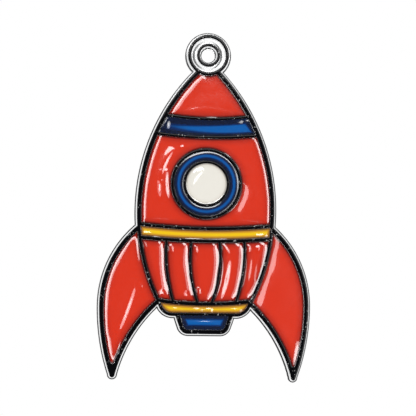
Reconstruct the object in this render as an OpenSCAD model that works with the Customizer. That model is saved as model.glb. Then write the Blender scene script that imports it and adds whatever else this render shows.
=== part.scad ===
// Rocket suncatcher: a clear moulded plate with raised dams. Each dam carries a thin
// black cap, and each cell between the dams holds a pool of clear coloured paint.
//
// Millimetres. +Z is up as the piece hangs, and the front faces -Y. The origin is on
// the axis of the hanging hole, where the hole meets the flat back face. Outlines are
// drawn flat, with x across and y up, and slab() stands them up on the back face.

/* [Clear plate] */
// Thickness of the plate under the paint
plate_t = 1.4; // [1:0.1:2.5]
// Height of the dams above the plate
dam_h = 1.2; // [0.8:0.1:2]
// Width of the clear lip outside the black lines
lip_w = 0.7; // [0.4:0.05:0.9]

/* [Black lines] */
// Thickness of the black cap on each dam
cap_t = 0.15; // [0.1:0.05:0.3]
// Width of the line round the nose, the body and the fins
outline_w = 1.25; // [0.9:0.05:1.4]
// Width of the lines across the nose band
band_line_w = 0.8; // [0.6:0.05:1]
// Width of the lines across the waist and under the skirt
waist_line_w = 1; // [0.7:0.05:1.2]
// Width of the line down each side of the skirt
skirt_line_w = 0.95; // [0.7:0.05:1.2]
// Width of the ribs down the skirt
rib_w = 0.8; // [0.5:0.05:1]
// Width of the line between the tail band and the nozzle
nozzle_line_w = 0.7; // [0.5:0.05:0.9]

/* [Paint] */
// Depth of the dried paint in a cell
paint_d = 1.05; // [0.6:0.05:1.1]

/* [Hanging tab] */
// Diameter of the hanging hole
hole_d = 4; // [3:0.1:4.5]
// Inner radius of the black ring round the hole
hanger_ring_in = 2.55; // [2.4:0.05:2.7]
// Outer radius of that ring
hanger_ring_out = 3.4; // [3.1:0.05:3.6]
// Inner radius of the black ring at the edge of the tab
tab_ring_in = 5; // [4.5:0.1:5.2]
// Outer radius of that ring
tab_ring_out = 6; // [5.7:0.1:6.3]

/* [Hull] */
// Width of the hull at its widest
hull_w = 40; // [38:0.5:42]
// Height of the widest place, counted from the hole
hull_mid_z = -45.5; // [-47:0.5:-44]
// Radius of the long arc down each side
hull_side_r = 58.8; // [57:0.2:61]

/* [Porthole] */
// Height of its centre
porthole_z = -37.5; // [-39:0.5:-36]
// Outer radius of the outer ring
porthole_r = 10.3; // [9:0.1:11]
// Width of the outer ring
porthole_line_w = 0.9; // [0.6:0.1:1.1]
// Radius of the window in the middle
window_r = 5.9; // [5:0.1:6.5]
// Width of the ring round the window
window_line_w = 0.85; // [0.6:0.05:1.1]

/* [Fins] */
// Reach of the fins from the middle line, also the radius of their upper arc
fin_reach = 30.35; // [29:0.05:32]
// Height of the place where they reach furthest
fin_mid_z = -73; // [-74:0.5:-72]
// Radius of the long arc from there to the tip
fin_lower_r = 61.3; // [58:0.1:65]
// Radius of the hollow inner edge
fin_inner_r = 42.4; // [42:0.1:43]
// How much lower the right fin reaches than the left one
right_fin_drop = 0.65; // [0:0.05:1]

/* [Tail] */
// Radius of the rounded ends of the yellow tail band
tail_end_r = 4.4; // [4:0.1:4.8]
// Radius of the nozzle's lower corners
nozzle_corner_r = 2.6; // [2:0.1:3]

/* [Hidden] */

$fn = 360;
big = 200;
cut = 1;

clear = [0.9, 0.94, 0.95, 0.45];
black = [0.03, 0.03, 0.04];
red = [0.86, 0.23, 0.13];
blue = [0.04, 0.36, 0.68];
yellow = [0.96, 0.76, 0.1];
white = [0.93, 0.91, 0.87];

// Lines that cross the hull, each as [height of its top edge at the middle, radius of its sag, width]
nose_band_top = [-18.2, 83, band_line_w];
nose_band_foot = [-23.6, 121, band_line_w];
waist_top = [-50, 184, waist_line_w];
waist_foot = [-53.6, 216, waist_line_w];
skirt_foot = [-71.8, 103, waist_line_w];

// Ribs down the skirt, each as [furthest reach from the middle line, height of that place, radius]
inner_rib = [4.4, -59, 37];
outer_rib = [11.4, -57, 48.5];

// Centre of the left fin's hollow inner edge, and how near the middle line the fins are drawn
fin_hollow = [15.5, -103.5];
fin_root_x = 9;
// Heights at which the left fin's black outline and its paint begin to round off to a tip
fin_tip_z = -92.9;
fin_paint_tip_z = -89.1;
// How far a fin's edges run on into its rounded tip
fin_tip_overlap = 0.2;

// Centres of the tail band's ends and of the nozzle's lower corners, and the nozzle's shoulders
tail_end = [9.2, -71.5];
nozzle_corner = [4.7, -78.4];
nozzle_shoulder = [7, -75.2];
nozzle_shoulder_r = 1.45;

dam_top = plate_t + dam_h;

// Distance from the middle line to a fin's outer and hollow inner edges at height z, below the furthest reach
function fin_outer_x(z, g) =
    fin_reach - fin_lower_r + sqrt(pow(fin_lower_r + g, 2) - pow(z - fin_mid_z, 2));
function fin_inner_x(z, g, drop) =
    sqrt(pow(fin_inner_r - g, 2) - pow(z + drop - fin_hollow[1], 2)) - fin_hollow[0];

// ---- Outlines ----

// Stands a flat outline up, its back at the given height over the back face
module slab(from, thick) {
    rotate([90, 0, 0])
        translate([0, 0, from])
            linear_extrude(thick)
                children();
}

// The hull, between its two side arcs, grown by g
module hull_lens(g) {
    intersection_for (side = [-1, 1])
        translate([side * (hull_side_r - hull_w / 2), hull_mid_z])
            circle(hull_side_r + g);
}

// Everything above the top edge of a line across the hull, or w below that edge
module above(line, w) {
    translate([0, line[0] + line[1]])
        circle(line[1] + w);
}

// The hull between two lines that cross it, inside a side line of width side_w
module hull_cell(upper, lower, side_w) {
    difference() {
        intersection() {
            hull_lens(-side_w);
            above(lower, 0);
        }
        above(upper, upper[2]);
    }
}

// Everything within reach of a pair of ribs, out to w past their centre lines
module between_ribs(rib, w) {
    intersection_for (side = [-1, 1])
        translate([side * (rib[2] - rib[0]), rib[1]])
            circle(rib[2] + w);
}

// The round-ended tail band, grown by g
module tail_outline(g) {
    for (side = [-1, 1])
        translate([side * tail_end[0], tail_end[1]])
            circle(tail_end_r + g);
    translate([-tail_end[0], tail_end[1] - tail_end_r - g])
        square([2 * tail_end[0], 2 * (tail_end_r + g)]);
}

// The nozzle, tapered from its shoulders to its rounded lower corners, grown by g
module nozzle_outline(g) {
    hull()
        for (side = [-1, 1]) {
            translate([side * nozzle_corner[0], nozzle_corner[1]])
                circle(nozzle_corner_r + g, $fn = 96);
            translate([side * nozzle_shoulder[0], nozzle_shoulder[1]])
                circle(nozzle_shoulder_r + g, $fn = 96);
        }
}

// The left fin down to a rounded tip, grown by g, its tip and its hollow edge lowered by drop
module left_fin(g, drop, tip_z) {
    low_z = tip_z - drop;
    outer_x = fin_outer_x(low_z, g);
    inner_x = fin_inner_x(low_z, g, drop);
    difference() {
        intersection() {
            fin_outer_arcs(g);
            translate([-big, low_z - fin_tip_overlap])
                square([big - fin_root_x, big]);
        }
        translate([fin_hollow[0], fin_hollow[1] - drop])
            circle(fin_inner_r - g);
    }
    translate([-(outer_x + inner_x) / 2, low_z])
        circle((outer_x - inner_x) / 2);
}

// The outer edge of the fins: the upper arc, and the longer arc below the furthest reach
module fin_outer_arcs(g) {
    translate([0, fin_mid_z])
        circle(fin_reach + g);
    intersection() {
        translate([fin_lower_r - fin_reach, fin_mid_z])
            circle(fin_lower_r + g);
        translate([-big, fin_mid_z - big])
            square([big, big]);
    }
}

// The whole outline out to the black lines, grown by g
module silhouette(g) {
    circle(tab_ring_out + g);
    intersection() {
        hull_lens(g);
        above(skirt_foot, waist_line_w);
    }
    left_fin(g, 0, fin_tip_z);
    mirror([1, 0])
        left_fin(g, right_fin_drop, fin_tip_z);
    tail_outline(g);
    nozzle_outline(g);
}

// ---- Cells that hold the paint ----

module nose_cone_cell() {
    difference() {
        intersection() {
            hull_lens(-outline_w);
            above(nose_band_top, 0);
        }
        circle(tab_ring_out);
    }
}

module nose_band_cell() {
    hull_cell(nose_band_top, nose_band_foot, outline_w);
}

module body_cell() {
    hull_cell(nose_band_foot, waist_top, outline_w);
}

module waist_band_cell() {
    hull_cell(waist_top, waist_foot, skirt_line_w);
}

// Skirt panel i of five, counted from the left. The last two mirror the first two.
module skirt_cell(i) {
    mirror([i > 3 ? 1 : 0, 0])
        intersection() {
            hull_cell(waist_foot, skirt_foot, skirt_line_w);
            if (i == 3)
                between_ribs(inner_rib, -rib_w / 2);
            else if (i == 2 || i == 4)
                skirt_strip(inner_rib, outer_rib);
            else
                difference() {
                    left_half();
                    between_ribs(outer_rib, rib_w / 2);
                }
        }
}

// The left half of what lies between two pairs of ribs
module skirt_strip(near, far) {
    difference() {
        intersection() {
            left_half();
            between_ribs(far, -rib_w / 2);
        }
        between_ribs(near, rib_w / 2);
    }
}

module left_half() {
    translate([-big, -big])
        square([big, big]);
}

module tail_band_cell() {
    difference() {
        tail_outline(-skirt_line_w);
        above(skirt_foot, waist_line_w);
    }
}

module nozzle_cell() {
    difference() {
        nozzle_outline(-outline_w);
        tail_outline(nozzle_line_w - skirt_line_w);
    }
}

module fin_cell(drop) {
    difference() {
        left_fin(-outline_w, drop, fin_paint_tip_z);
        hull_lens(0);
    }
}

// ---- Black lines ----

// A round line of outer radius r and width w
module ring(r, w) {
    difference() {
        circle(r);
        circle(r - w);
    }
}

// The connected lines: the outline, the lines across the hull, the ribs and the tab's edge
module main_lines() {
    difference() {
        silhouette(0);
        circle(tab_ring_in);
        nose_cone_cell();
        nose_band_cell();
        body_cell();
        waist_band_cell();
        for (i = [1:5])
            skirt_cell(i);
        tail_band_cell();
        nozzle_cell();
        fin_cell(0);
        mirror([1, 0])
            fin_cell(right_fin_drop);
    }
}

module porthole_line() {
    translate([0, porthole_z])
        ring(porthole_r, porthole_line_w);
}

module window_line() {
    translate([0, porthole_z])
        ring(window_r + window_line_w, window_line_w);
}

module hanger_line() {
    ring(hanger_ring_out, hanger_ring_out - hanger_ring_in);
}

// ---- Solids ----

module base_plate() {
    color(clear)
        difference() {
            union() {
                slab(0, plate_t)
                    silhouette(lip_w);
                slab(0, dam_top) {
                    main_lines();
                    porthole_line();
                    window_line();
                    hanger_line();
                }
            }
            slab(-cut, dam_top + 2 * cut)
                circle(d = hole_d);
        }
}

module cap() {
    color(black)
        slab(dam_top, cap_t)
            children();
}

module paint(tint) {
    color(tint)
        slab(plate_t, paint_d)
            children();
}

module main_line_cap() {
    cap()
        main_lines();
}

module porthole_outer_cap() {
    cap()
        porthole_line();
}

module porthole_inner_cap() {
    cap()
        window_line();
}

module hanger_ring_cap() {
    cap()
        hanger_line();
}

module nose_cone_paint() {
    paint(red)
        nose_cone_cell();
}

module nose_band_paint() {
    paint(blue)
        nose_band_cell();
}

module body_paint() {
    paint(red)
        difference() {
            body_cell();
            translate([0, porthole_z])
                circle(porthole_r);
        }
}

module porthole_ring_paint() {
    paint(blue)
        translate([0, porthole_z])
            ring(porthole_r - porthole_line_w, porthole_r - porthole_line_w - window_r - window_line_w);
}

module porthole_window_paint() {
    paint(white)
        translate([0, porthole_z])
            circle(window_r);
}

module waist_band_paint() {
    paint(yellow)
        waist_band_cell();
}

module skirt_paint(i) {
    paint(red)
        skirt_cell(i);
}

module tail_band_paint() {
    paint(yellow)
        tail_band_cell();
}

module nozzle_paint() {
    paint(blue)
        nozzle_cell();
}

module left_fin_paint() {
    paint(red)
        fin_cell(0);
}

module right_fin_paint() {
    paint(red)
        mirror([1, 0])
            fin_cell(right_fin_drop);
}

base_plate();
main_line_cap();
porthole_outer_cap();
porthole_inner_cap();
hanger_ring_cap();
nose_cone_paint();
nose_band_paint();
body_paint();
porthole_ring_paint();
porthole_window_paint();
waist_band_paint();
skirt_paint(1);  // skirt_paint_1
skirt_paint(2);  // skirt_paint_2
skirt_paint(3);  // skirt_paint_3
skirt_paint(4);  // skirt_paint_4
skirt_paint(5);  // skirt_paint_5
tail_band_paint();
nozzle_paint();
left_fin_paint();
right_fin_paint();
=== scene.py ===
"""Looks of a hanging rocket suncatcher: a clear moulding, black-topped lines and pools of dried paint."""

import logging
import math
from dataclasses import dataclass, field
from enum import Enum

import bmesh
import bpy
import numpy as np
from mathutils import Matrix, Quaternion, Vector, kdtree, noise
from mathutils.geometry import delaunay_2d_cdt


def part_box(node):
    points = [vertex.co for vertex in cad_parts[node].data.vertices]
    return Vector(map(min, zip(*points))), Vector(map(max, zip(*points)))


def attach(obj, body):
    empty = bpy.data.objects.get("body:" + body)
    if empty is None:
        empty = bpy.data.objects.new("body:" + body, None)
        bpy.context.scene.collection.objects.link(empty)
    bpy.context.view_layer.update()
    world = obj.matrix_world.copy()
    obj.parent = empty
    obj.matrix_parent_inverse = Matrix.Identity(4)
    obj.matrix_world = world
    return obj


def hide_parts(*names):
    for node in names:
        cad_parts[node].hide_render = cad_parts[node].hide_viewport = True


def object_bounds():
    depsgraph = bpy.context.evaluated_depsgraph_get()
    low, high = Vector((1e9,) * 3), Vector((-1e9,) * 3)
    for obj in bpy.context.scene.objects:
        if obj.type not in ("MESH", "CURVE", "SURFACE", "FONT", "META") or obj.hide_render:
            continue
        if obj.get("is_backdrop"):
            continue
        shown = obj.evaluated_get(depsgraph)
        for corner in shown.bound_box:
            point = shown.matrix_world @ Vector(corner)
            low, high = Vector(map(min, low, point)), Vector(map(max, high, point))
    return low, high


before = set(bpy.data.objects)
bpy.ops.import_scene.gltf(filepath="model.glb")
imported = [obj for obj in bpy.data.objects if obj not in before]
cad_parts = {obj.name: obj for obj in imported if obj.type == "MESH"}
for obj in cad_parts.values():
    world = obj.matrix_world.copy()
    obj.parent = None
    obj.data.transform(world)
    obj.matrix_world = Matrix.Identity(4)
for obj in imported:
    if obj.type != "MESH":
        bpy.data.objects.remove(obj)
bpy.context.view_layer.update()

log = logging.getLogger("suncatcher")

MM = 0.001
BODY = "root"
GRADE = "grade"

# How the CAD's faces are read: FLAT_TOLERANCE is in metres, DECIMALS are those of a millimetre.
FLAT_TOLERANCE = 1e-5
DECIMALS = 4
CORNER_TURN = math.radians(24)
STRAIGHT_RATIO = 3.0
CORNER_SHARE = 0.6
REFINING = 8

# How faces are filled, settled and joined: TOUCHING is in millimetres, WELD_DISTANCE in metres.
TOUCHING = 1e-6
KEEP_CLEAR = 0.95
SLIVER = 1e-9
NOTHING = 1e-12
SETTLING_ROUNDS = 250
WAVE_SEED = 4.7
WELD_DISTANCE = 1e-6
SHARP_ANGLE = math.radians(40)
QUARTER_TURN = 90

# Numbers of the Mix node's sockets for colours.
MIX_SHARE, MIX_A, MIX_B, MIX_RESULT = 0, 6, 7, 2


# ---------------------------------------------------------------- outlines


def face_loops(node: str, depth: float) -> list[np.ndarray]:
    """Finds the outlines of a CAD node's flat face.

    Args:
        node: Name of the CAD node.
        depth: The face's Y, in metres.

    Returns:
        Closed loops of (x, z) in millimetres, with the solid on their left as seen from the front.
    """
    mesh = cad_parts[node].data
    mesh.calc_loop_triangles()
    places = np.array([v.co[:] for v in mesh.vertices])
    corners = np.array([t.vertices[:] for t in mesh.loop_triangles])
    flat = (np.abs(places[:, 1] - depth) < FLAT_TOLERANCE)[corners].all(axis=1)
    points, ids = np.unique(np.round(places[:, [0, 2]] / MM, DECIMALS), axis=0, return_inverse=True)
    corners = ids.reshape(-1)[corners[flat]]
    a, b, c = (points[corners[:, i]] for i in range(3))
    turned = cross(b - a, c - a) < 0
    corners[turned] = corners[turned][:, ::-1]
    edges = {(int(t[i]), int(t[(i + 1) % 3])) for t in corners for i in range(3)}
    following = {start: end for start, end in edges if (end, start) not in edges}
    loops = []
    while following:
        start, at = following.popitem()
        chain = [start]
        while at != start:
            chain.append(at)
            at = following.pop(at)
        loops.append(points[chain])
    return sorted(loops, key=lambda loop: tuple(loop.min(axis=0)))


def cross(a: np.ndarray, b: np.ndarray) -> np.ndarray:
    """Returns the flat cross product of two lists of vectors."""
    return a[..., 0] * b[..., 1] - a[..., 1] * b[..., 0]


def unit(vectors: np.ndarray) -> np.ndarray:
    """Returns the vectors at length one."""
    return vectors / np.maximum(np.linalg.norm(vectors, axis=-1, keepdims=True), NOTHING)


def turned_by(vectors: np.ndarray, angles: np.ndarray) -> np.ndarray:
    """Turns flat vectors anticlockwise.

    Args:
        vectors: One (x, z) vector in each row.
        angles: How far each one turns, in radians.

    Returns:
        The turned vectors.
    """
    c, s = np.cos(angles), np.sin(angles)
    x, z = vectors[:, 0], vectors[:, 1]
    return np.stack([c * x - s * z, s * x + c * z], axis=1)


def smoothed(loop: np.ndarray, spacing: float) -> np.ndarray:
    """Resamples a loop so that its arcs are round and its corners stay sharp.

    Args:
        loop: Closed loop of (x, z) points whose round stretches are in short chords.
        spacing: The longest step between the new points, in millimetres.

    Returns:
        The new closed loop.
    """
    ahead = np.roll(loop, -1, axis=0) - loop
    length = np.linalg.norm(ahead, axis=1)
    direction = unit(ahead)
    before, length_before = np.roll(direction, 1, axis=0), np.roll(length, 1)
    turn = np.arctan2(cross(before, direction), (before * direction).sum(axis=1))
    joined = unit(before * length[:, None] + direction * length_before[:, None])
    joined = np.where((length > STRAIGHT_RATIO * length_before)[:, None], direction, joined)
    joined = np.where((length_before > STRAIGHT_RATIO * length)[:, None], before, joined)
    corner = np.abs(turn) > CORNER_TURN
    gentle = np.where(corner, 0.0, turn)
    next_share = np.roll(gentle, -1) * length / (length + np.roll(length, -1))
    last_share = gentle * length / (length + length_before)
    leaving = np.where(corner[:, None], turned_by(direction, -next_share), joined)
    arriving = np.where(
        np.roll(corner, -1)[:, None], turned_by(direction, last_share), np.roll(joined, -1, axis=0)
    )
    rows = []
    for i, start in enumerate(loop):
        end = loop[(i + 1) % len(loop)]
        t = np.arange(max(1, math.ceil(length[i] / spacing)))[:, None]
        t = t / len(t)
        rows.append(
            (2 * t**3 - 3 * t**2 + 1) * start
            + (t**3 - 2 * t**2 + t) * leaving[i] * length[i]
            + (3 * t**2 - 2 * t**3) * end
            + (t**3 - t**2) * arriving[i] * length[i]
        )
    return np.vstack(rows)


@dataclass
class Outline:
    """A flat region, as closed loops of (x, z) in millimetres with the region on their left."""

    loops: list[np.ndarray]

    @classmethod
    def of_face(cls, node: str, depth: float) -> "Outline":
        """Returns the outline of a CAD node's flat face at that depth in metres."""
        return cls(face_loops(node, depth))

    def smooth(self, spacing: float) -> "Outline":
        """Returns the same outline with round arcs, in steps of at most spacing."""
        return Outline([smoothed(loop, spacing) for loop in self.loops])

    def points(self) -> np.ndarray:
        """Returns all points of all loops in one array."""
        return np.vstack(self.loops)

    def sides(self) -> list[tuple[np.ndarray, np.ndarray]]:
        """Finds the way into the region all along its edge.

        Returns:
            Each loop with the direction into the region at its points, a little longer in corners.
        """
        pairs = []
        for loop in self.loops:
            along = unit(np.roll(loop, -1, axis=0) - loop)
            left = np.stack([-along[:, 1], along[:, 0]], axis=1)
            both = unit(left + np.roll(left, 1, axis=0))
            share = np.maximum((both * left).sum(axis=1), CORNER_SHARE)
            pairs.append((loop, both / share[:, None]))
        return pairs

    def inward(self) -> np.ndarray:
        """Returns the direction into the region at each of the points."""
        return np.vstack([inward for _, inward in self.sides()])

    def inset(self, away: float) -> "Outline":
        """Returns the outline moved into the region by away."""
        return Outline([loop + inward * away for loop, inward in self.sides()])

    def turned_over(self) -> "Outline":
        """Returns the same loops run the other way, so that the region is the rest of the plane."""
        return Outline([loop[::-1] for loop in self.loops])

    def edges(self) -> list[tuple[int, int]]:
        """Numbers the points through all loops and joins neighbours.

        Returns:
            The pair of point numbers that each step joins.
        """
        pairs, first = [], 0
        for loop in self.loops:
            n = len(loop)
            pairs += [(first + i, first + (i + 1) % n) for i in range(n)]
            first += n
        return pairs

    def holds(self, points: np.ndarray) -> np.ndarray:
        """Tells which points lie in the region.

        Args:
            points: The (x, z) points.

        Returns:
            True for each point inside.
        """
        odd = np.zeros(len(points), bool)
        x, z = points[:, 0], points[:, 1]
        for loop in self.loops:
            for (x0, z0), (x1, z1) in zip(loop, np.roll(loop, -1, axis=0)):
                if z0 != z1:
                    odd ^= ((z0 > z) != (z1 > z)) & (x < (x1 - x0) * (z - z0) / (z1 - z0) + x0)
        return odd


@dataclass
class Ruler:
    """Measures how far points lie from an outline."""

    outline: Outline
    tree: kdtree.KDTree = field(init=False)

    def __post_init__(self) -> None:
        """Fills the search tree with the outline's points."""
        points = self.outline.points()
        self.tree = kdtree.KDTree(len(points))
        for i, (x, z) in enumerate(points):
            self.tree.insert((x, z, 0.0), i)
        self.tree.balance()

    def distance(self, points: np.ndarray) -> np.ndarray:
        """Returns the distance from each point to the outline, in millimetres."""
        return np.array([self.tree.find((x, z, 0.0))[2] for x, z in points])

    def nearest(self, points: np.ndarray) -> np.ndarray:
        """Returns the number of the outline point that lies nearest to each point."""
        return np.array([self.tree.find((x, z, 0.0))[1] for x, z in points])


# ---------------------------------------------------------------- meshes


@dataclass
class Sheet:
    """A triangulated region of an upright plane, in millimetres."""

    points: np.ndarray
    triangles: np.ndarray

    @classmethod
    def fill(cls, outline: Outline, extra: np.ndarray | None = None) -> "Sheet":
        """Triangulates a region.

        Args:
            outline: The region's edge, which the triangles keep to.
            extra: Further (x, z) points inside the region.

        Returns:
            The sheet, its triangles anticlockwise as seen from the front.
        """
        points = outline.points()
        if extra is not None:
            points = np.vstack([points, extra])
        corners = [Vector(point) for point in points]
        found = delaunay_2d_cdt(corners, outline.edges(), [], 0, TOUCHING, False)
        places = np.array([v[:] for v in found[0]])
        triangles = np.array(found[2])
        middle = places[triangles].mean(axis=1)
        return cls(places, triangles[outline.holds(middle)])


def settled(
    sheet: Sheet, start: np.ndarray, low: np.ndarray, reach: float, held: np.ndarray
) -> np.ndarray:
    """Lets a liquid's face come to rest between walls that hold its edge up.

    Args:
        sheet: The face, seen flat.
        start: First guess of the height at each point.
        low: The level that the face would have at each point, far from any wall.
        reach: How far a wall draws the face up.
        held: Which points keep their first height.

    Returns:
        The height at each point.
    """
    count, triangles = len(sheet.points), sheet.triangles
    share, pairs, weights = np.zeros(count), [], []
    for i in range(3):
        a, b, c = (triangles[:, (i + k) % 3] for k in range(3))
        to_a, to_b = sheet.points[a] - sheet.points[c], sheet.points[b] - sheet.points[c]
        area = np.maximum(np.abs(cross(to_a, to_b)), SLIVER)
        weight = np.maximum((to_a * to_b).sum(axis=1) / area, 0.0) / 2
        pairs += [np.stack([a, b]), np.stack([b, a])]
        weights += [weight, weight]
        share += np.bincount(c, area / 6, count)
    (here, there), weight = np.hstack(pairs), np.concatenate(weights)
    pull = share / reach**2
    total = np.bincount(here, weight, count) + pull + NOTHING
    height = start.copy()
    for _ in range(SETTLING_ROUNDS):
        drawn = (np.bincount(here, weight * height[there], count) + pull * low) / total
        height = np.where(held, start, drawn)
    return height


def stood_up(points: np.ndarray, heights: np.ndarray | float) -> np.ndarray:
    """Places flat points in the row frame.

    Args:
        points: (x, z) in millimetres.
        heights: How far each point stands in front of the back face, in millimetres.

    Returns:
        (x, y, z) in metres.
    """
    heights = np.broadcast_to(heights, len(points))
    return np.stack([points[:, 0], -heights, points[:, 1]], axis=1) * MM


def inner_points(outline: Outline, ruler: Ruler, lines: tuple[float, ...], spacing: float) -> np.ndarray:
    """Spreads points inside a region, on lines that follow its edge and evenly beyond them.

    Args:
        outline: The region's edge.
        ruler: A ruler on that edge.
        lines: How far in each line lies, in millimetres, the last one the farthest.
        spacing: Distance between the points beyond the lines, in millimetres.

    Returns:
        The (x, z) points.
    """
    edge, inward = outline.points(), outline.inward()
    rows = []
    for away in lines:
        candidates = edge + inward * away
        rows.append(candidates[ruler.distance(candidates) > KEEP_CLEAR * away])
    low, high = edge.min(axis=0), edge.max(axis=0)
    rise = spacing * math.sqrt(3) / 2
    grid = [
        (x, z)
        for j, z in enumerate(np.arange(low[1], high[1], rise))
        for x in np.arange(low[0] + (j % 2) * spacing / 2, high[0], spacing)
    ]
    grid = np.array(grid)
    grid = grid[outline.holds(grid)]
    rows.append(grid[ruler.distance(grid) > lines[-1] + spacing / 2])
    return np.vstack(rows)


@dataclass
class Shell:
    """A closed surface that is gathered part by part and then made into one object."""

    places: list[np.ndarray] = field(default_factory=list)
    faces: list[tuple[int, ...]] = field(default_factory=list)
    grades: list[np.ndarray] = field(default_factory=list)
    count: int = 0

    def add(self, places: np.ndarray, faces: list, grade: np.ndarray | float) -> None:
        """Adds a part of the surface.

        Args:
            places: The part's vertices, in metres.
            faces: The vertex numbers of each face, counted from the part's first vertex.
            grade: A number from 0 to 1 for all its vertices, or one for each.
        """
        self.places.append(places)
        self.grades.append(np.broadcast_to(grade, len(places)).astype(float))
        self.faces += [tuple(int(i) + self.count for i in face) for face in faces]
        self.count += len(places)

    def add_sheet(
        self, sheet: Sheet, heights: np.ndarray | float, grade: np.ndarray | float = 1.0, back: bool = False
    ) -> None:
        """Adds a sheet at the given heights, facing forwards unless it is a back."""
        faces = sheet.triangles[:, ::-1] if back else sheet.triangles
        self.add(stood_up(sheet.points, heights), faces, grade)

    def add_skirt(
        self, outline: Outline, rings: list[tuple[float, float]], grade: np.ndarray | float = 1.0
    ) -> None:
        """Adds a skirt that runs round every loop of an outline.

        Args:
            outline: The edge that the skirt follows.
            rings: (distance into the region, height) of each ring, from the front one to the back one.
            grade: The grade of all its vertices, or one for each ring.
        """
        for loop, inward in outline.sides():
            n = len(loop)
            rows = [stood_up(loop + inward * away, height) for away, height in rings]
            faces = [
                (r * n + i, (r + 1) * n + i, (r + 1) * n + (i + 1) % n, r * n + (i + 1) % n)
                for r in range(len(rings) - 1)
                for i in range(n)
            ]
            self.add(np.vstack(rows), faces, np.repeat(np.broadcast_to(grade, len(rings)), n))

    def add_wall(self, outline: Outline, heights: np.ndarray, foot: float) -> None:
        """Adds an upright wall under every loop of an outline.

        Args:
            outline: The edge that the wall follows.
            heights: The height of the wall's top at each point of the outline.
            foot: The height at which the wall ends.
        """
        points, n = outline.points(), len(heights)
        grades = np.repeat((1.0, 0.0), n)
        faces = [(a, a + n, b + n, b) for a, b in outline.edges()]
        self.add(np.vstack([stood_up(points, heights), stood_up(points, foot)]), faces, grades)

    def build(self, name: str, finish: "Finish", node: str) -> bpy.types.Object:
        """Makes the object, dresses it and lets it stand for its CAD node.

        Args:
            name: The piece's name.
            finish: What it is dressed in.
            node: The CAD node that it replaces.

        Returns:
            The finished object.
        """
        mesh = bpy.data.meshes.new(name)
        mesh.from_pydata(np.vstack(self.places).tolist(), [], self.faces)
        grade = mesh.attributes.new(GRADE, "FLOAT", "POINT")
        grade.data.foreach_set("value", np.concatenate(self.grades))
        work = bmesh.new()
        work.from_mesh(mesh)
        bmesh.ops.remove_doubles(work, verts=work.verts, dist=WELD_DISTANCE)
        open_edges = sum(1 for edge in work.edges if len(edge.link_faces) != 2)
        work.to_mesh(mesh)
        work.free()
        mesh.shade_smooth()
        mesh.set_sharp_from_angle(angle=SHARP_ANGLE)
        mesh.materials.append(finish.material())
        piece = bpy.data.objects.new(name, mesh)
        bpy.context.scene.collection.objects.link(piece)
        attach(piece, BODY)
        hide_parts(node)
        log.info("%s: %d faces, %d open edges, for %s", name, len(mesh.polygons), open_edges, node)
        return piece


# ---------------------------------------------------------------- finishes


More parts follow.
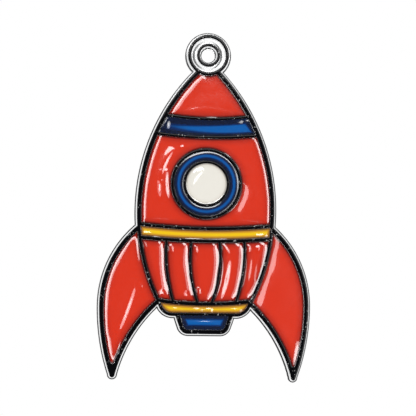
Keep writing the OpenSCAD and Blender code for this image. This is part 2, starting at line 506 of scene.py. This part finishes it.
@dataclass
class Graph:
    """A node tree with short ways to add and join its nodes."""

    tree: bpy.types.NodeTree

    @classmethod
    def of_material(cls, name: str) -> "tuple[bpy.types.Material, Graph, bpy.types.Node]":
        """Makes a material.

        Args:
            name: The material's name.

        Returns:
            The material, its graph and its Principled node.
        """
        material = bpy.data.materials.new(name)
        material.use_nodes = True
        return material, cls(material.node_tree), material.node_tree.nodes["Principled BSDF"]

    def add(self, kind: str, **settings: object) -> bpy.types.Node:
        """Adds a node.

        Args:
            kind: Blender's name for the kind of node.
            **settings: Values for its properties or, with _ for each space, for the inputs of that name.

        Returns:
            The node.
        """
        node = self.tree.nodes.new(kind)
        for key, value in settings.items():
            label = key.replace("_", " ")
            if label in node.inputs:
                node.inputs[label].default_value = value
            else:
                setattr(node, key, value)
        return node

    def join(self, source: bpy.types.NodeSocket, target: bpy.types.NodeSocket) -> None:
        """Links two sockets."""
        self.tree.links.new(source, target)

    def noise(self, scale: float, detail: float = 2.0, roughness: float = 0.5) -> bpy.types.NodeSocket:
        """Adds noise that is fixed to the object.

        Args:
            scale: How many waves there are in a metre.
            detail: How many finer layers it has.
            roughness: How strong the finer layers are.

        Returns:
            The noise's value, from 0 to 1.
        """
        where = self.add("ShaderNodeTexCoord")
        node = self.add("ShaderNodeTexNoise", Scale=scale, Detail=detail, Roughness=roughness)
        self.join(where.outputs["Object"], node.inputs["Vector"])
        return node.outputs["Fac"]

    def ramp(self, value: bpy.types.NodeSocket, stops: list[tuple[float, tuple]]) -> bpy.types.NodeSocket:
        """Adds a colour ramp.

        Args:
            value: What the ramp is read by, from 0 to 1.
            stops: The (position, colour) of each stop.

        Returns:
            The ramp's colour.
        """
        node = self.add("ShaderNodeValToRGB")
        node.color_ramp.interpolation = "EASE"
        spots = node.color_ramp.elements
        while len(spots) < len(stops):
            spots.new(0.5)
        for spot, (position, colour) in zip(spots, stops):
            spot.position = position
            spot.color = (*colour, 1.0)
        self.join(value, node.inputs["Fac"])
        return node.outputs["Color"]

    def spread(self, value: bpy.types.NodeSocket, low: float, high: float) -> bpy.types.NodeSocket:
        """Maps a value from 0 to 1 onto another range.

        Args:
            value: The value.
            low: What 0 becomes.
            high: What 1 becomes.

        Returns:
            The mapped value.
        """
        node = self.add("ShaderNodeMapRange")
        node.inputs["To Min"].default_value = low
        node.inputs["To Max"].default_value = high
        self.join(value, node.inputs["Value"])
        return node.outputs["Result"]

    def mixed(
        self, share: bpy.types.NodeSocket, a: bpy.types.NodeSocket | tuple, b: bpy.types.NodeSocket | tuple
    ) -> bpy.types.NodeSocket:
        """Mixes two colours.

        Args:
            share: How much of b there is, from 0 to 1.
            a: The first colour, a socket or a plain colour.
            b: The second colour, likewise.

        Returns:
            The mixed colour.
        """
        node = self.add("ShaderNodeMix", data_type="RGBA")
        self.join(share, node.inputs[MIX_SHARE])
        for value, socket in ((a, node.inputs[MIX_A]), (b, node.inputs[MIX_B])):
            if isinstance(value, tuple):
                socket.default_value = (*value, 1.0)
            else:
                self.join(value, socket)
        return node.outputs[MIX_RESULT]

    def bump(self, height: bpy.types.NodeSocket, distance: float, strength: float) -> bpy.types.NodeSocket:
        """Adds a bump.

        Args:
            height: The height's pattern.
            distance: How high its tops are, in metres.
            strength: How much of the bump shows, from 0 to 1.

        Returns:
            The bumped normal.
        """
        node = self.add("ShaderNodeBump", Strength=strength, Distance=distance)
        self.join(height, node.inputs["Height"])
        return node.outputs["Normal"]


@dataclass(frozen=True)
class Finish:
    """A material and the record's slot that it belongs to."""

    name: str
    slot: str

    def material(self) -> bpy.types.Material:
        """Returns the finish's material, which is made once and then shared."""
        return bpy.data.materials.get(self.name) or self.mixed()

    def mixed(self) -> bpy.types.Material:
        """Makes the material."""
        raise NotImplementedError


@dataclass(frozen=True)
class PaintFinish(Finish):
    """Clear dried paint, bright where it is thin and darker towards the walls of its cell: partly deeper
    paint there, partly painted shade beside the dams.
    """

    thin: tuple[float, float, float]
    middle: tuple[float, float, float]
    deep_and_shaded: tuple[float, float, float]
    bright_from: float = 1.6
    middle_at: float = 0.8
    deep_and_shaded_from: float = 0.15
    mottle: float = 0.12
    cloud_scale: float = 160.0
    cloud_shade: float = 0.55
    grain_scale: float = 2600.0
    grain: tuple[float, float] = (-0.06, 0.1)
    grain_gain: float = 1.5
    grain_lift: float = 0.02
    gloss_scale: float = 900.0
    roughness: tuple[float, float] = (0.1, 0.22)
    wave_scale: float = 420.0
    wave_depth: float = 0.00002
    wave_strength: float = 0.35
    refraction: float = 1.5
    reflection: float = 0.2
    coat_refraction: float = 1.75
    coat_roughness: float = 0.02

    def mixed(self) -> bpy.types.Material:
        """Makes the paint's material, which reads each vertex's grade as its depth and as painted shade
        near the walls.

        Returns:
            The material.
        """
        material, graph, shader = Graph.of_material(self.name)
        # The grade is nearness to a wall; the deep colour it leads to is partly deeper paint, partly
        # painted shade beside the dams.
        depth = graph.add("ShaderNodeAttribute", attribute_name=GRADE).outputs["Fac"]
        stops = ((self.bright_from, self.thin), (self.middle_at, self.middle), (self.deep_and_shaded_from, self.deep_and_shaded))
        colour = graph.ramp(depth, [(math.exp(-away), shade) for away, shade in stops])
        cloud = graph.spread(graph.noise(self.cloud_scale, 3, 0.55), -self.mottle, self.mottle)
        darker = tuple(channel * self.cloud_shade for channel in self.middle)
        colour = graph.mixed(cloud, colour, darker)
        grain = graph.spread(graph.noise(self.grain_scale, 2), *self.grain)
        paler = tuple(min(1.0, channel * self.grain_gain + self.grain_lift) for channel in self.thin)
        colour = graph.mixed(grain, colour, paler)
        graph.join(colour, shader.inputs["Base Color"])
        graph.join(graph.spread(graph.noise(self.gloss_scale), *self.roughness), shader.inputs["Roughness"])
        wave = graph.bump(graph.noise(self.wave_scale, 1), self.wave_depth, self.wave_strength)
        graph.join(wave, shader.inputs["Normal"])
        shader.inputs["IOR"].default_value = self.refraction
        shader.inputs["Specular IOR Level"].default_value = self.reflection
        shader.inputs["Coat Weight"].default_value = 1.0
        shader.inputs["Coat IOR"].default_value = self.coat_refraction
        shader.inputs["Coat Roughness"].default_value = self.coat_roughness
        return material


@dataclass(frozen=True)
class FoilFinish(Finish):
    """Glossy black on the dam tops, with small pale chips."""

    black: tuple[float, float, float]
    chip: tuple[float, float, float]
    speck_scale: float = 1700.0
    speck_from: tuple[float, float] = (0.63, 0.68)
    patch_scale: float = 330.0
    patch_from: tuple[float, float] = (0.5, 0.58)
    gloss_scale: float = 1500.0
    roughness: tuple[float, float] = (0.05, 0.12)
    grain_scale: float = 1400.0
    grain_depth: float = 0.00001
    grain_strength: float = 0.2
    reflection: float = 0.12

    def mixed(self) -> bpy.types.Material:
        """Makes the foil's material: it is chipped where a speck falls in a worn patch.

        Returns:
            The material.
        """
        material, graph, shader = Graph.of_material(self.name)
        none, full = (0.0, 0.0, 0.0), (1.0, 1.0, 1.0)
        speck, patch = (
            graph.ramp(pattern, [(0.0, none), (low, none), (high, full)])
            for pattern, (low, high) in (
                (graph.noise(self.speck_scale, 3, 0.6), self.speck_from),
                (graph.noise(self.patch_scale, 1), self.patch_from),
            )
        )
        chips = graph.mixed(speck, none, patch)
        colour = graph.mixed(chips, self.black, self.chip)
        graph.join(colour, shader.inputs["Base Color"])
        graph.join(graph.spread(graph.noise(self.gloss_scale), *self.roughness), shader.inputs["Roughness"])
        grain = graph.bump(graph.noise(self.grain_scale, 2), self.grain_depth, self.grain_strength)
        graph.join(grain, shader.inputs["Normal"])
        shader.inputs["Specular IOR Level"].default_value = self.reflection
        return material


@dataclass(frozen=True)
class ClearFinish(Finish):
    """Polished clear moulded plastic, with painted shade on its edges and lines."""

    tint: tuple[float, float, float]
    edge: tuple[float, float, float]
    dark_to: float = 0.4
    refraction: float = 1.57
    gloss_scale: float = 700.0
    roughness: tuple[float, float] = (0.0, 0.05)
    wave_scale: float = 260.0
    wave_depth: float = 0.00003
    wave_strength: float = 0.3

    def mixed(self) -> bpy.types.Material:
        """Makes the see-through material, with the faint waves of a moulding and painted shade on its
        edges.

        Returns:
            The material.
        """
        material, graph, shader = Graph.of_material(self.name)
        flat = graph.add("ShaderNodeAttribute", attribute_name=GRADE).outputs["Fac"]
        # Where the grade is low, the edge colour paints the shade that the plastic's edges and grooves show
        # by refraction.
        colour = graph.ramp(flat, [(0.0, self.edge), (self.dark_to, self.edge), (1.0, self.tint)])
        graph.join(colour, shader.inputs["Base Color"])
        shader.inputs["Transmission Weight"].default_value = 1.0
        shader.inputs["IOR"].default_value = self.refraction
        graph.join(graph.spread(graph.noise(self.gloss_scale), *self.roughness), shader.inputs["Roughness"])
        wave = graph.bump(graph.noise(self.wave_scale, 2), self.wave_depth, self.wave_strength)
        graph.join(wave, shader.inputs["Normal"])
        return material


# The deep colour of each paint, used by the walls, is partly deeper paint and partly painted shade beside
# the dams.
RED = PaintFinish(
    "red_glass_paint", "red_paint",
    thin=(0.76, 0.034, 0.010), middle=(0.60, 0.026, 0.010), deep_and_shaded=(0.10, 0.005, 0.005),
    bright_from=3.0, middle_at=0.9, deep_and_shaded_from=0.12,
)
BLUE = PaintFinish(
    "blue_glass_paint", "blue_paint",
    thin=(0.0, 0.115, 0.44), middle=(0.001, 0.022, 0.12), deep_and_shaded=(0.006, 0.009, 0.03),
    bright_from=1.65, middle_at=1.15, deep_and_shaded_from=0.8,
)
YELLOW = PaintFinish(
    "yellow_glass_paint", "yellow_paint",
    thin=(0.95, 0.60, 0.004), middle=(0.66, 0.30, 0.02), deep_and_shaded=(0.16, 0.06, 0.02),
    bright_from=1.1, middle_at=0.65, deep_and_shaded_from=0.2,
)
WHITE = PaintFinish(
    "opal_white_paint", "white_paint",
    thin=(0.89, 0.86, 0.78), middle=(0.84, 0.80, 0.72), deep_and_shaded=(0.42, 0.39, 0.34),
    bright_from=1.5, middle_at=0.6, deep_and_shaded_from=0.1, mottle=0.04,
)
BLACK = FoilFinish("black_foil", "black_cap", (0.0025, 0.0025, 0.0035), (0.55, 0.55, 0.55))
# The second colour is the painted shade of the plate's edge, the dams' feet and the lines by the hole's
# ridge.
CLEAR = ClearFinish("clear_moulded_plastic", "clear_plate", (0.985, 0.992, 0.995), (0.0015, 0.0016, 0.0017))


# ---------------------------------------------------------------- sub-assemblies


@dataclass
class Levels:
    """Heights in front of the back face, in millimetres, read from the frame."""

    plate: float
    paint: float
    dam: float
    cap: float

    @classmethod
    def of_frame(cls) -> "Levels":
        """Reads the levels from the CAD nodes' boxes.

        Returns:
            The levels.
        """
        paint_front, paint_back = (corner.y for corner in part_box("body_paint"))
        cap_front, cap_back = (corner.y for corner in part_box("main_line_cap"))
        return cls(-paint_back / MM, -paint_front / MM, -cap_back / MM, -cap_front / MM)


@dataclass
class MouldedPlate:
    """The clear moulding: a plate with rounded edges, its dams, and a soft ridge round the hole.

    Its grade is low, which paints shade, along the edge, at the dams' feet and on both sides of the ridge.
    """

    levels: Levels
    step: float = 0.3
    arc_step: int = 15
    back_round: float = 0.2
    front_round: float = 0.22
    edge_shade: float = 0.22
    edge_power: int = 3
    foot_shade: float = 0.16
    foot_grade: float = 0.7
    ridge_radius: float = 4.05
    ridge_shift: float = -0.22
    ridge_width: float = 0.3
    ridge_height: float = 0.12
    ridge_reach: float = 2.0
    ridge_rings: int = 9
    ridge_points: int = 72

    def lip_points(self, edge: Outline, outside: Outline) -> np.ndarray:
        """Finds the points that the shades and the ridge need between the plate's edge and the dams.

        Args:
            edge: The plate's outline.
            outside: The dams' outline, with the region outside them.

        Returns:
            The (x, z) points.
        """
        turn = np.linspace(0, 2 * math.pi, self.ridge_points, endpoint=False)
        circle = np.stack([np.cos(turn), np.sin(turn)], axis=1)
        ridge = [
            circle * (self.ridge_radius + self.ridge_width * share) + (self.ridge_shift, 0.0)
            for share in np.linspace(-self.ridge_reach, self.ridge_reach, self.ridge_rings)
        ]
        shade_ends = edge.inset(self.front_round + self.edge_shade).points()
        return np.vstack([shade_ends, outside.inset(self.foot_shade).points(), *ridge])

    def edge_rings(self) -> list[tuple[float, float]]:
        """Rounds the plate's edge.

        Returns:
            The (inset, height) of each ring round the edge, from front to back.
        """
        turns = [math.radians(a) for a in range(0, QUARTER_TURN + 1, self.arc_step)]
        top, front, back = self.levels.plate, self.front_round, self.back_round
        return [
            (front * (1 - math.sin(t)), top - front * (1 - math.cos(t))) for t in turns
        ] + [
            (back * (1 - math.cos(t)), back * (1 - math.sin(t))) for t in turns
        ]

    def build(self) -> bpy.types.Object:
        """Builds and dresses the plate.

        Returns:
            The finished piece.
        """
        edge = Outline.of_face("base_plate", 0.0).smooth(self.step)
        dams = Outline.of_face("base_plate", -self.levels.dam * MM).smooth(self.step)
        outside = dams.turned_over()
        floor = Outline(edge.inset(self.front_round).loops + outside.loops)
        shell = Shell()
        shell.add_sheet(Sheet.fill(dams), self.levels.dam)
        shell.add_skirt(dams, [(0.0, self.levels.dam), (0.0, self.levels.plate)])
        front = Sheet.fill(floor, self.lip_points(edge, outside))
        # Painted shade: a dark band just inside the rounded edge, a fainter one at the dams' feet and lines
        # on both sides of the ridge.
        rim = (Ruler(edge).distance(front.points) - self.front_round) / self.edge_shade
        foot = Ruler(dams).distance(front.points) / self.foot_shade
        foot = self.foot_grade + (1 - self.foot_grade) * foot
        from_middle = front.points - (self.ridge_shift, 0.0)
        off = (np.linalg.norm(from_middle, axis=1) - self.ridge_radius) / self.ridge_width
        ridge = np.exp(-(off**2))
        sideways = np.clip(np.abs(from_middle[:, 0]) / self.ridge_radius, 0, 1)
        grade = np.clip(np.minimum(np.minimum(rim, foot), 1 - ridge * sideways), 0, 1)
        shell.add_sheet(front, self.levels.plate + self.ridge_height * ridge, grade)
        rings = self.edge_rings()
        # Painted shade on the rounded edge: darkest at its front, clear by its side.
        turned = np.minimum(np.arange(len(rings)) * self.arc_step / QUARTER_TURN, 1.0)
        shell.add_skirt(edge, rings, turned**self.edge_power)
        shell.add_sheet(Sheet.fill(edge.inset(self.back_round)), 0.0, back=True)
        return shell.build("moulded_plate", CLEAR, "base_plate")


@dataclass
class BlackLine:
    """One stretch of glossy black on the dam tops, slightly domed."""

    name: str
    node: str
    levels: Levels
    step: float = 0.3
    lift: float = 0.01
    shoulder: float = 0.07
    dome_reach: float = 0.5
    spacing: float = 10.0
    lines: tuple[float, ...] = (0.05, 0.12, 0.2, 0.3, 0.42, 0.54)

    def build(self) -> bpy.types.Object:
        """Builds and dresses the line.

        Returns:
            The finished piece.
        """
        edge = Outline.of_face(self.node, -self.levels.cap * MM).smooth(self.step)
        ruler = Ruler(edge.smooth(self.step / REFINING))
        top = Sheet.fill(edge, inner_points(edge, ruler, self.lines, self.spacing))
        away = np.clip(ruler.distance(top.points) / self.dome_reach, 0, 1)
        low = self.levels.dam + self.shoulder
        dome = low + (self.levels.cap - low) * np.sqrt(1 - (1 - away) ** 2)
        shell = Shell()
        shell.add_sheet(top, dome, away)
        shell.add_skirt(edge, [(0.0, low), (0.0, self.levels.dam + self.lift)], 0.0)
        shell.add_sheet(Sheet.fill(edge), self.levels.dam + self.lift, 0.0, back=True)
        return shell.build(self.name, BLACK, self.node)


class Wall(Enum):
    """The walls of a cell that paint can cling to, each with the direction that leads away from it."""

    LEFT = (1.0, 0.0)
    RIGHT = (-1.0, 0.0)
    TOP = (0.0, -1.0)


@dataclass(frozen=True)
class Ripple:
    """A soft ridge left in the paint as it dried.

    On its way from start to end it bows to the left, is steep on its left and trails off on its right.
    """

    start: tuple[float, float]
    end: tuple[float, float]
    bow: float = 0.0
    height: float = 0.09
    width: float = 0.4
    trail: float = 2.2
    bluntness: float = 0.75

    def rise(self, points: np.ndarray) -> np.ndarray:
        """Works out the ridge's shape.

        Args:
            points: The (x, z) points.

        Returns:
            How far the ridge lifts the paint at each point, in millimetres.
        """
        start = np.array(self.start)
        chord = np.array(self.end) - start
        length = np.linalg.norm(chord)
        along = (points - start) @ chord / length**2
        aside = cross(np.broadcast_to(chord / length, points.shape), points - start)
        fade = np.clip(4 * along * (1 - along), 0, 1)
        off = aside - self.bow * fade
        width = np.where(off > 0, self.width, self.width * self.trail)
        return self.height * fade**self.bluntness * np.exp(-((off / width) ** 2))


@dataclass
class PaintPool:
    """Paint that dried in a cell: hollow in the middle, drawn up the walls that it clings to.

    With no walls named it clings to all of them, and with an empty list to none.
    """

    name: str
    node: str
    finish: PaintFinish
    levels: Levels
    ripples: tuple[Ripple, ...] = ()
    clings: tuple[Wall, ...] | None = None
    cling_from: float = 0.3
    cling_span: float = 0.4
    inner_cling: float = 1.0
    shade_reach: float = 1.0
    shade_lean: tuple[float, float] = (0.0, 0.0)
    hollow: float = 0.55
    climb: float = 0.03
    reach: float = 0.85
    waves: float = 0.03
    wave_length: float = 5.0
    wave_reach: float = 0.3
    gap: float = 0.012
    lift: float = 0.01
    step: float = 0.3
    spacing: float = 0.32
    lines: tuple[float, ...] = (0.06, 0.14, 0.24, 0.36, 0.5, 0.66, 0.85, 1.08, 1.36, 1.7)

    def clinging(self, edge: Outline) -> np.ndarray:
        """Works out where the paint clings to the cell's walls.

        Args:
            edge: The pool's outline.

        Returns:
            How far the paint climbs at each point of the edge, from 0 to 1.
        """
        inward = unit(edge.inward())
        climb = np.ones(len(inward))
        if self.clings is not None:
            facing = np.zeros(len(inward))
            for wall in self.clings:
                facing = np.maximum(facing, inward @ np.array(wall.value))
            share = np.clip((facing - self.cling_from) / self.cling_span, 0, 1)
            climb = share**2 * (3 - 2 * share)
        outer = max(range(len(edge.loops)), key=lambda i: np.ptp(edge.loops[i][:, 0]))
        inner = np.concatenate([np.full(len(loop), i != outer) for i, loop in enumerate(edge.loops)])
        return np.where(inner, climb * self.inner_cling, climb)

    def unevenness(self, points: np.ndarray) -> np.ndarray:
        """Works out the waves and ripples.

        Args:
            points: The (x, z) points.

        Returns:
            How far they lift the paint at each point, in millimetres.
        """
        turns = points / self.wave_length
        waves = np.array([noise.noise((x, z, WAVE_SEED)) for x, z in turns]) * 2 * self.waves
        return waves + sum(ripple.rise(points) for ripple in self.ripples)

    def build(self) -> bpy.types.Object:
        """Builds and dresses the pool.

        Returns:
            The finished piece.
        """
        edge = Outline.of_face(self.node, -self.levels.paint * MM).smooth(self.step).inset(self.gap)
        ruler = Ruler(edge.smooth(self.step / REFINING))
        top = Sheet.fill(edge, inner_points(edge, ruler, self.lines, self.spacing))
        away = ruler.distance(top.points)
        on_edge = away < self.lines[0] / 2
        away = np.where(on_edge, 0.0, away)
        low, top_rim = self.levels.dam - self.hollow, self.levels.dam + self.climb
        rims = low + (top_rim - low) * self.clinging(edge)
        rim = rims[Ruler(edge).nearest(top.points)]
        guess = low + (rim - low) * np.exp(-away / self.reach)
        height = settled(top, guess, low, self.reach, on_edge)
        free = 1 - np.exp(-away / self.wave_reach)
        height = np.minimum(height + self.unevenness(top.points) * free, self.levels.cap)
        # The grade rises towards the walls, so the colour darkens there: partly deeper paint, partly
        # painted shade beside the dams. shade_lean darkens the colour steadily towards one side.
        leaning = (top.points - top.points.mean(axis=0)) @ np.array(self.shade_lean)
        foot = self.levels.plate + self.lift
        shell = Shell()
        shell.add_sheet(top, height, np.clip(np.exp(-away / self.shade_reach) + leaning, 0, 1))
        shell.add_wall(edge, rims, foot)
        shell.add_sheet(Sheet.fill(edge), foot, 0.0, back=True)
        return shell.build(self.name, self.finish, self.node)


@dataclass
class SoftLight:
    """A flat lamp that shines evenly from a rectangle towards a point."""

    name: str
    place: tuple[float, float, float]
    width: float
    height: float
    power: float

    def build(self, target: Vector) -> None:
        """Adds the lamp, which only gives the gloss its highlights.

        Args:
            target: The point that the lamp is turned to, in metres.
        """
        lamp = bpy.data.lights.new(self.name, "AREA")
        lamp.shape = "RECTANGLE"
        lamp.size, lamp.size_y, lamp.energy = self.width, self.height, self.power
        holder = bpy.data.objects.new(self.name, lamp)
        holder.location = self.place
        holder.rotation_euler = (target - holder.location).to_track_quat("-Z", "Y").to_euler()
        holder.visible_camera = False
        holder.visible_diffuse = False
        bpy.context.scene.collection.objects.link(holder)
        log.info("lamp %s: %.1f W", self.name, self.power)


LAMPS = (
    SoftLight("right_box", (0.255, -0.50, -0.05), 0.10, 0.66, 1.65),
    SoftLight("right_glow", (0.184, -0.55, -0.05), 0.062, 0.60, 0.41),
    SoftLight("left_box", (-0.30, -0.47, -0.03), 0.14, 0.40, 1.4),
    SoftLight("left_glow", (-0.205, -0.54, -0.03), 0.06, 0.36, 0.15),
    SoftLight("top_bar", (0.0, -0.52, 0.17), 0.36, 0.16, 1.44),
)


@dataclass
class Studio:
    """The room round the suncatcher: a white surround, soft lamps, a pale floor and the camera."""

    centre: Vector = field(default_factory=lambda: Vector((0.00055, -0.0026, -0.04454)))
    distance: float = 0.335
    lens: float = 100.0
    azimuth: float = -4.5
    elevation: float = -2.0
    roll: float = 0.93
    floor_drop: float = 0.40
    floor_size: float = 4.0
    surround: float = 1.0
    mirrored: float = 0.04
    scattered: float = 1.07
    floor_tones: tuple[float, float] = (0.93, 0.97)
    floor_mottle: float = 3.0
    floor_roughness: float = 0.9

    def add_camera(self) -> None:
        """Adds the camera, from slightly below and left of the middle."""
        lens = bpy.data.cameras.new("camera")
        lens.lens = self.lens
        camera = bpy.data.objects.new("camera", lens)
        a, e = math.radians(self.azimuth), math.radians(self.elevation)
        away = Vector((math.sin(a) * math.cos(e), -math.cos(a) * math.cos(e), math.sin(e)))
        camera.location = self.centre + away * self.distance
        aim = (-away).to_track_quat("-Z", "Y")
        camera.rotation_euler = (aim @ Quaternion((0, 0, 1), math.radians(self.roll))).to_euler()
        bpy.context.scene.collection.objects.link(camera)
        bpy.context.scene.camera = camera

    def add_surround(self) -> None:
        """Adds a white surround that is dimmer as a reflection, so that the gloss stays deep."""
        world = bpy.data.worlds.new("white_surround")
        world.use_nodes = True
        graph = Graph(world.node_tree)
        sky = world.node_tree.nodes["Background"]
        path = graph.add("ShaderNodeLightPath")
        level = graph.mixed(path.outputs["Is Glossy Ray"], (self.scattered,) * 3, (self.mirrored,) * 3)
        level = graph.mixed(path.outputs["Is Transmission Ray"], level, (self.surround,) * 3)
        level = graph.mixed(path.outputs["Is Camera Ray"], level, (self.surround,) * 3)
        graph.join(level, sky.inputs["Color"])
        bpy.context.scene.world = world

    def add_floor(self) -> None:
        """Adds a plain pale floor well below the fin tips."""
        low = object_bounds()[0][2] - self.floor_drop
        bpy.ops.mesh.primitive_plane_add(size=self.floor_size, location=(0, 0, low))
        floor = bpy.context.object
        floor.name = "floor"
        floor.visible_glossy = False
        material, graph, shader = Graph.of_material("pale_floor")
        dark, pale = ((tone,) * 3 for tone in self.floor_tones)
        tone = graph.ramp(graph.noise(self.floor_mottle), [(0.0, dark), (1.0, pale)])
        graph.join(tone, shader.inputs["Base Color"])
        shader.inputs["Roughness"].default_value = self.floor_roughness
        floor.data.materials.append(material)
        floor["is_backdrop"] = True

    def add_lamps(self) -> None:
        """Adds the soft lamps."""
        for lamp in LAMPS:
            lamp.build(self.centre)

    def build(self) -> None:
        """Sets up the whole room."""
        self.add_surround()
        self.add_floor()
        self.add_lamps()
        self.add_camera()
        bpy.context.scene.view_settings.view_transform = "Standard"
        log.info("studio: camera, %d lamps and a floor", len(LAMPS))


# ---------------------------------------------------------------- the suncatcher


@dataclass
class Suncatcher:
    """The whole part: the clear moulding, its black lines and the paint in its cells."""

    levels: Levels = field(default_factory=Levels.of_frame)

    def lines(self) -> list[BlackLine]:
        """Returns the black lines."""
        names = ("main_line", "porthole_outer", "porthole_inner", "hanger_ring")
        return [BlackLine(f"{name}_black", f"{name}_cap", self.levels) for name in names]

    def pool(self, cell: str, finish: PaintFinish, **settings: object) -> PaintPool:
        """Returns the pool in one cell."""
        return PaintPool(f"{cell}_pool", f"{cell}_paint", finish, self.levels, **settings)

    def pools(self) -> list[PaintPool]:
        """Describes the pools of the hull and the fins.

        Returns:
            The pools, from the nose down.
        """
        return [
            self.pool("nose_cone", RED, clings=(Wall.LEFT,), reach=1.15, hollow=0.6, ripples=(
                Ripple((-8.6, -17.1), (8.6, -17.1), 1.4, 0.035, 0.55),
            )),
            self.pool(
                "nose_band", BLUE, clings=(Wall.TOP,), shade_reach=1.2, shade_lean=(-0.010, 0.09),
                ripples=(
                    Ripple((-11.7, -18.5), (-12.2, -22.2), 0.0, 0.25, 0.9),
                    Ripple((-11.6, -18.75), (-7.0, -19.1), 0.0, 0.15, 0.3),
                    Ripple((5.9, -19.45), (10.3, -19.1), 0.0, 0.15, 0.3),
                ),
            ),
            self.pool(
                "body", RED, clings=(Wall.LEFT, Wall.RIGHT), inner_cling=0.12, ripples=(
                    Ripple((-9.7, -27.2), (-13.9, -37.8), -0.8, 0.25, 0.68),
                    Ripple((-12.9, -36.4), (-12.6, -42.4), -0.2, 0.15, 0.42),
                    Ripple((-11.9, -33.2), (-11.3, -42.8), -0.4, 0.3, 0.8),
                    Ripple((10.7, -37.0), (6.4, -47.0), 0.9, 0.26, 2.2),
                    Ripple((-7.9, -27.1), (-6.7, -26.7), 0.0, 0.07, 0.25),
                    Ripple((-17.8, -48.3), (-9.0, -48.3), 0.0, 0.09, 0.5),
                    Ripple((8.7, -48.05), (19.0, -49.0), 0.0, 0.09, 0.5),
                ),
            ),
            self.pool("porthole_ring", BLUE, hollow=0.03, climb=-0.12, reach=0.42, shade_reach=0.74),
            self.pool("porthole_window", WHITE, hollow=0.05, reach=0.4, ripples=(
                Ripple((-0.8, -33.3), (-4.6, -38.2), -0.7, 0.23, 0.8),
            )),
            self.pool("waist_band", YELLOW, hollow=0.06, spacing=0.22, ripples=(
                Ripple((-18.9, -52.2), (-15.0, -52.3), 0.0, 0.14, 0.65),
                Ripple((13.8, -52.6), (18.0, -52.3), 0.0, 0.14, 0.65),
            )),
            self.pool("tail_band", YELLOW, hollow=0.08, spacing=0.2, ripples=tuple(
                Ripple((low, -74.0), (high, -74.0), 0.0, 0.17, 0.55)
                for low, high in ((-11.0, -6.4), (-4.3, -0.4), (-0.1, 2.4), (6.4, 11.0))
            )),
            self.pool("nozzle", BLUE, hollow=0.1, spacing=0.25, shade_lean=(0.0, -0.03), ripples=(
                Ripple((-6.6, -77.7), (6.6, -77.7), 0.0, 0.19, 0.62),
            )),
            self.pool(
                "left_fin", RED, clings=(Wall.LEFT,), reach=1.1, ripples=(
                    Ripple((-20.1, -65.0), (-26.1, -82.4), 0.4, 0.31, 0.98),
                    Ripple((-18.6, -66.2), (-18.3, -68.4), 0.0, 0.11, 0.38),
                    Ripple((-20.2, -52.8), (-19.2, -62.0), -0.3, 0.16, 0.65),
                    Ripple((-24.1, -82.4), (-25.8, -88.8), 0.1, 0.11, 0.35),
                ),
            ),
            self.pool(
                "right_fin", RED, clings=(), ripples=(
                    Ripple((19.3, -50.5), (11.0, -80.0), 1.0, 0.25, 2.3),
                    Ripple((26.9, -82.6), (25.6, -90.0), 0.1, 0.13, 0.8),
                ),
            ),
        ]

    def skirt_pools(self) -> list[PaintPool]:
        """Describes the pools between the ribs of the skirt.

        Returns:
            The pools, from the left.
        """
        ripples = (
            (
                Ripple((-18.3, -53.9), (-16.9, -57.0), 0.0, 0.15, 0.47),
                Ripple((-12.5, -68.2), (-10.6, -71.4), 0.0, 0.21, 0.42),
            ),
            (
                Ripple((-10.1, -55.2), (-9.7, -57.9), 0.0, 0.18, 0.56),
                Ripple((-5.3, -68.5), (-4.0, -71.7), 0.0, 0.19, 0.4),
            ),
            (
                Ripple((-3.0, -55.4), (-2.6, -57.8), 0.0, 0.14, 0.5),
                Ripple((-3.1, -58.2), (-3.0, -60.5), 0.0, 0.07, 0.3),
                Ripple((-1.8, -67.4), (-1.6, -69.8), 0.0, 0.17, 0.47),
            ),
            (
                Ripple((4.5, -54.2), (7.1, -58.1), 0.0, 0.18, 0.52),
                Ripple((6.7, -58.2), (3.9, -71.4), 0.3, 0.4, 1.1),
            ),
            (
                Ripple((12.6, -54.9), (12.6, -57.4), 0.0, 0.13, 0.5),
                Ripple((15.4, -55.2), (15.4, -57.1), 0.0, 0.14, 0.42),
                Ripple((13.2, -57.6), (11.5, -69.2), 0.15, 0.19, 0.72),
                Ripple((16.0, -57.8), (14.7, -65.7), 0.1, 0.12, 0.38),
            ),
        )
        return [
            PaintPool(
                f"skirt_pool_{i}", f"skirt_paint_{i}", RED, self.levels, own,
                clings=(Wall.RIGHT,), hollow=0.7, reach=1.7, spacing=0.28,
            )
            for i, own in enumerate(ripples, 1)
        ]

    def build(self) -> None:
        """Builds every piece."""
        MouldedPlate(self.levels).build()
        for line in self.lines():
            line.build()
        for pool in self.pools() + self.skirt_pools():
            pool.build()


def main() -> None:
    """Builds the suncatcher and its studio."""
    logging.basicConfig(level=logging.INFO, format="%(name)s: %(message)s")
    Suncatcher().build()
    Studio().build()


if __name__ == "__main__":
    main()
